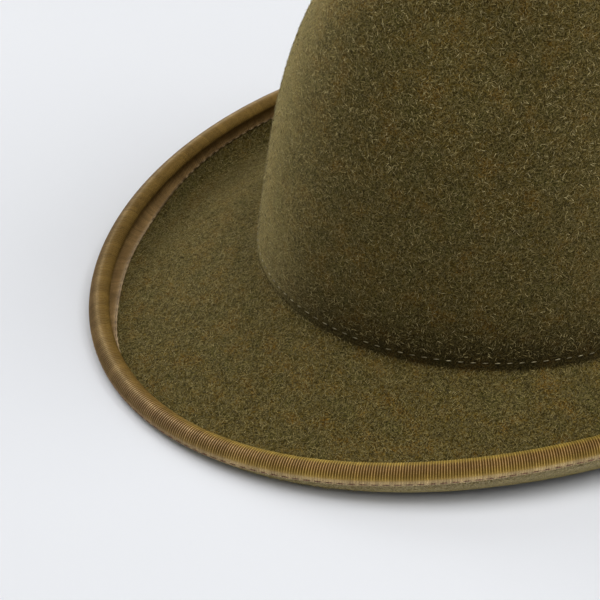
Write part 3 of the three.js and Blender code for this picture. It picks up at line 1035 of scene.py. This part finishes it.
# Lock stitches that hold the band, a little above the crown line.
upwards = felt_middle[:, line_row - 1] - felt_middle[:, line_row]
rise = STITCH_RISE / np.linalg.norm(upwards, axis=1, keepdims=True)
stitch_out = felt_normals[:, line_row - 1]
stitch_line = felt_middle[:, line_row] + upwards * rise + stitch_out * (FELT / 2 + STITCH_PROUD)
between_holes = slice(STEPS_PER_STITCH // 2, None, STEPS_PER_STITCH)
stitch_row(
    "band_stitches", stitch_line[between_holes], stitch_out[between_holes],
    CROWN_STITCH, light_thread, tilt=CROWN_STITCH_TILT,
)

# Stitches along the ribbon's two edges, each row that far in from its edge.
seam_turns = even_turns(RIBBON_STITCHES, BRIM_FRONT, BRIM_SIDE, BRIM_BACK)
for label, row, sign, inset, thread in (
    ("outer", outer_row, -1, 0.65, brown_thread),
    ("inner", 0, 1, 0.5, pale_thread),
):
    outwards = sign * ribbon_normals[:, row]
    ring = ribbon_middle[:, row] + outwards * (BINDING - STITCH_SUNK)
    places = row_places(ring + ribbon_along[:, row] * inset, ribbon_turns, seam_turns)
    out = row_places(outwards, ribbon_turns, seam_turns)
    stitch_row(f"ribbon_stitches_{label}", places, out, RIBBON_STITCH, thread)

# Nap on the felt: the crown's top, its wall, the brim up to the ribbon's selvedge, and the
# strip of the under face that shows below the ribbon. The first two numbers are places up the
# crown's rows that part its stretches, and the others are stations that stay bare.
WALL_PLACES = 7.5
LOW_WALL_PLACES = 3.2
BARE_STATIONS = 3
STRIP_START = 3
fibre_material = make_fibre_material()
crown_stations, break_stations, fall_stations, leg_stations, _ = felt_stations()
wall_rows = int((crown_stations > WALL_PLACES).sum())
low_rows = int((crown_stations > LOW_WALL_PLACES).sum())
brim_rows = line_row + len(break_stations) + len(fall_stations)
strip_rows = slice(brim_rows + STRIP_START, brim_rows + STRIP_START + len(leg_stations))
# The fibres' shades paint light and shade: palest on the crown's top, darker down the wall towards the
# crown line and darker again on the brim, and pale on the strip of the under face, where they stand in
# for light bounced off the floor.
for label, rows, surface, side, amount, seed, painted_light_tones in (
    ("crown_top", slice(0, wall_rows + 1), felt_shown, 1, 16000, 11, (0.45, 1.0)),
    ("high_wall", slice(wall_rows, low_rows + 1), felt_shown, 1, 33000, 23, (0.15, 1.0)),
    ("low_wall", slice(low_rows, line_row - BARE_STATIONS + 1), felt_shown, 1, 33000, 29, (0.05, 0.95)),
    ("brim", slice(line_row + BARE_STATIONS, brim_rows + 1), felt_shown, 1, 44000, 37, (0.0, 0.85)),
    ("edge_strip", strip_rows, felt_under, -1, 15000, 53, (0.65, 1.0)),
):
    outward = side * felt_normals[:, rows]
    build_nap(label + "_nap", surface[:, rows], outward, fibre_material, amount, seed, painted_light_tones)


# Floor, light and camera. The camera stands where the photograph was taken from.
AZIMUTH = math.radians(62.91)
ELEVATION = math.radians(38.44)
TARGET = Vector((0, CENTRE_Y, 21.95))
OFFSET_RIGHT, OFFSET_UP, DISTANCE = -84.35, -31.98, 1089.84
FOCAL_PIXELS = 2735.5
IMAGE_PIXELS = 600
SENSOR_WIDTH = 36

# Level directions in the picture: to its right and away from the camera.
RIGHT = Vector((math.cos(AZIMUTH), math.sin(AZIMUTH), 0))
AWAY = Vector((-math.sin(AZIMUTH), math.cos(AZIMUTH), 0))

# Softboxes stand at one distance, in metres, share one size and face one spot. Half the
# floor's width is in metres too.
SOFTBOX_DISTANCE = 2.0
SOFTBOX_SIZE = 1.2
LIT_SPOT = Vector((0, 0, 0.08))
FILL = 0.2
BACKDROP = (0.84, 0.855, 0.888)
FLOOR_HALF = 3


def build_floor():
    mesh = bmesh.new()
    bmesh.ops.create_grid(mesh, x_segments=1, y_segments=1, size=FLOOR_HALF)
    data = to_data("floor", mesh)
    material, _, shader = new_material("pale studio floor")
    finish(shader, {
        "Base Color": (0.672, 0.683, 0.706, 1), "Roughness": 0.9, "Specular IOR Level": 0.1,
    })
    data.materials.append(material)
    place_object("floor", data)


def add_softbox(name, turn, rise, power):
    """A square soft light that faces the hat. turn is 0 behind the hat as the camera sees it
    and 90 to the picture's right, and rise is the angle over the floor."""
    turn, rise = math.radians(turn), math.radians(rise)
    level = AWAY * math.cos(turn) + RIGHT * math.sin(turn)
    place = SOFTBOX_DISTANCE * (level * math.cos(rise) + Vector((0, 0, math.sin(rise))))
    light = bpy.data.lights.new(name, "AREA")
    light.size = SOFTBOX_SIZE
    light.energy = power
    lamp = place_object(name, light)
    lamp.location = place
    lamp.rotation_mode = "QUATERNION"
    lamp.rotation_quaternion = (LIT_SPOT - place).to_track_quat("-Z", "Y")


def build_studio_air(fill, seen):
    """Even fill light from all round, and the pale backdrop that the camera sees."""
    world = bpy.data.worlds.new("studio")
    world.use_nodes = True
    tree = world.node_tree
    ray = node(tree, "ShaderNodeLightPath").outputs["Is Camera Ray"]
    background = tree.nodes["Background"]
    background.inputs["Color"].default_value = (*seen, 1)
    strength = node(tree, "ShaderNodeMapRange", {"Value": ray, "To Min": fill, "To Max": 1.0})
    tree.links.new(strength.outputs[0], background.inputs["Strength"])
    bpy.context.scene.world = world


def build_camera():
    ahead = AWAY * math.cos(ELEVATION) - Vector((0, 0, math.sin(ELEVATION)))
    up = RIGHT.cross(ahead)
    data = bpy.data.cameras.new("camera")
    data.sensor_width = SENSOR_WIDTH
    data.lens = SENSOR_WIDTH * FOCAL_PIXELS / IMAGE_PIXELS
    data.clip_start = 0.01
    data.clip_end = 20
    camera = place_object("camera", data)
    place = (TARGET + RIGHT * OFFSET_RIGHT + up * OFFSET_UP - ahead * DISTANCE) * MM
    turned = Matrix((RIGHT, up, -ahead)).transposed().to_4x4()
    camera.matrix_world = Matrix.Translation(place) @ turned
    bpy.context.scene.camera = camera


bpy.context.scene.view_settings.view_transform = "Standard"
build_camera()
build_floor()
build_studio_air(FILL, BACKDROP)
for name, turn, rise, power in (
    ("behind_left_low", 315, 20, 24.0),
    ("left_low", 270, 20, 4.0),
    ("left_high", 270, 70, 6.0),
    ("right_middle", 90, 45, 16.0),
    ("right_high", 90, 70, 13.5),
    ("front_high", 180, 70, 7.5),
    ("front_right_middle", 135, 45, 5.0),
):
    add_softbox(name, turn, rise, power)
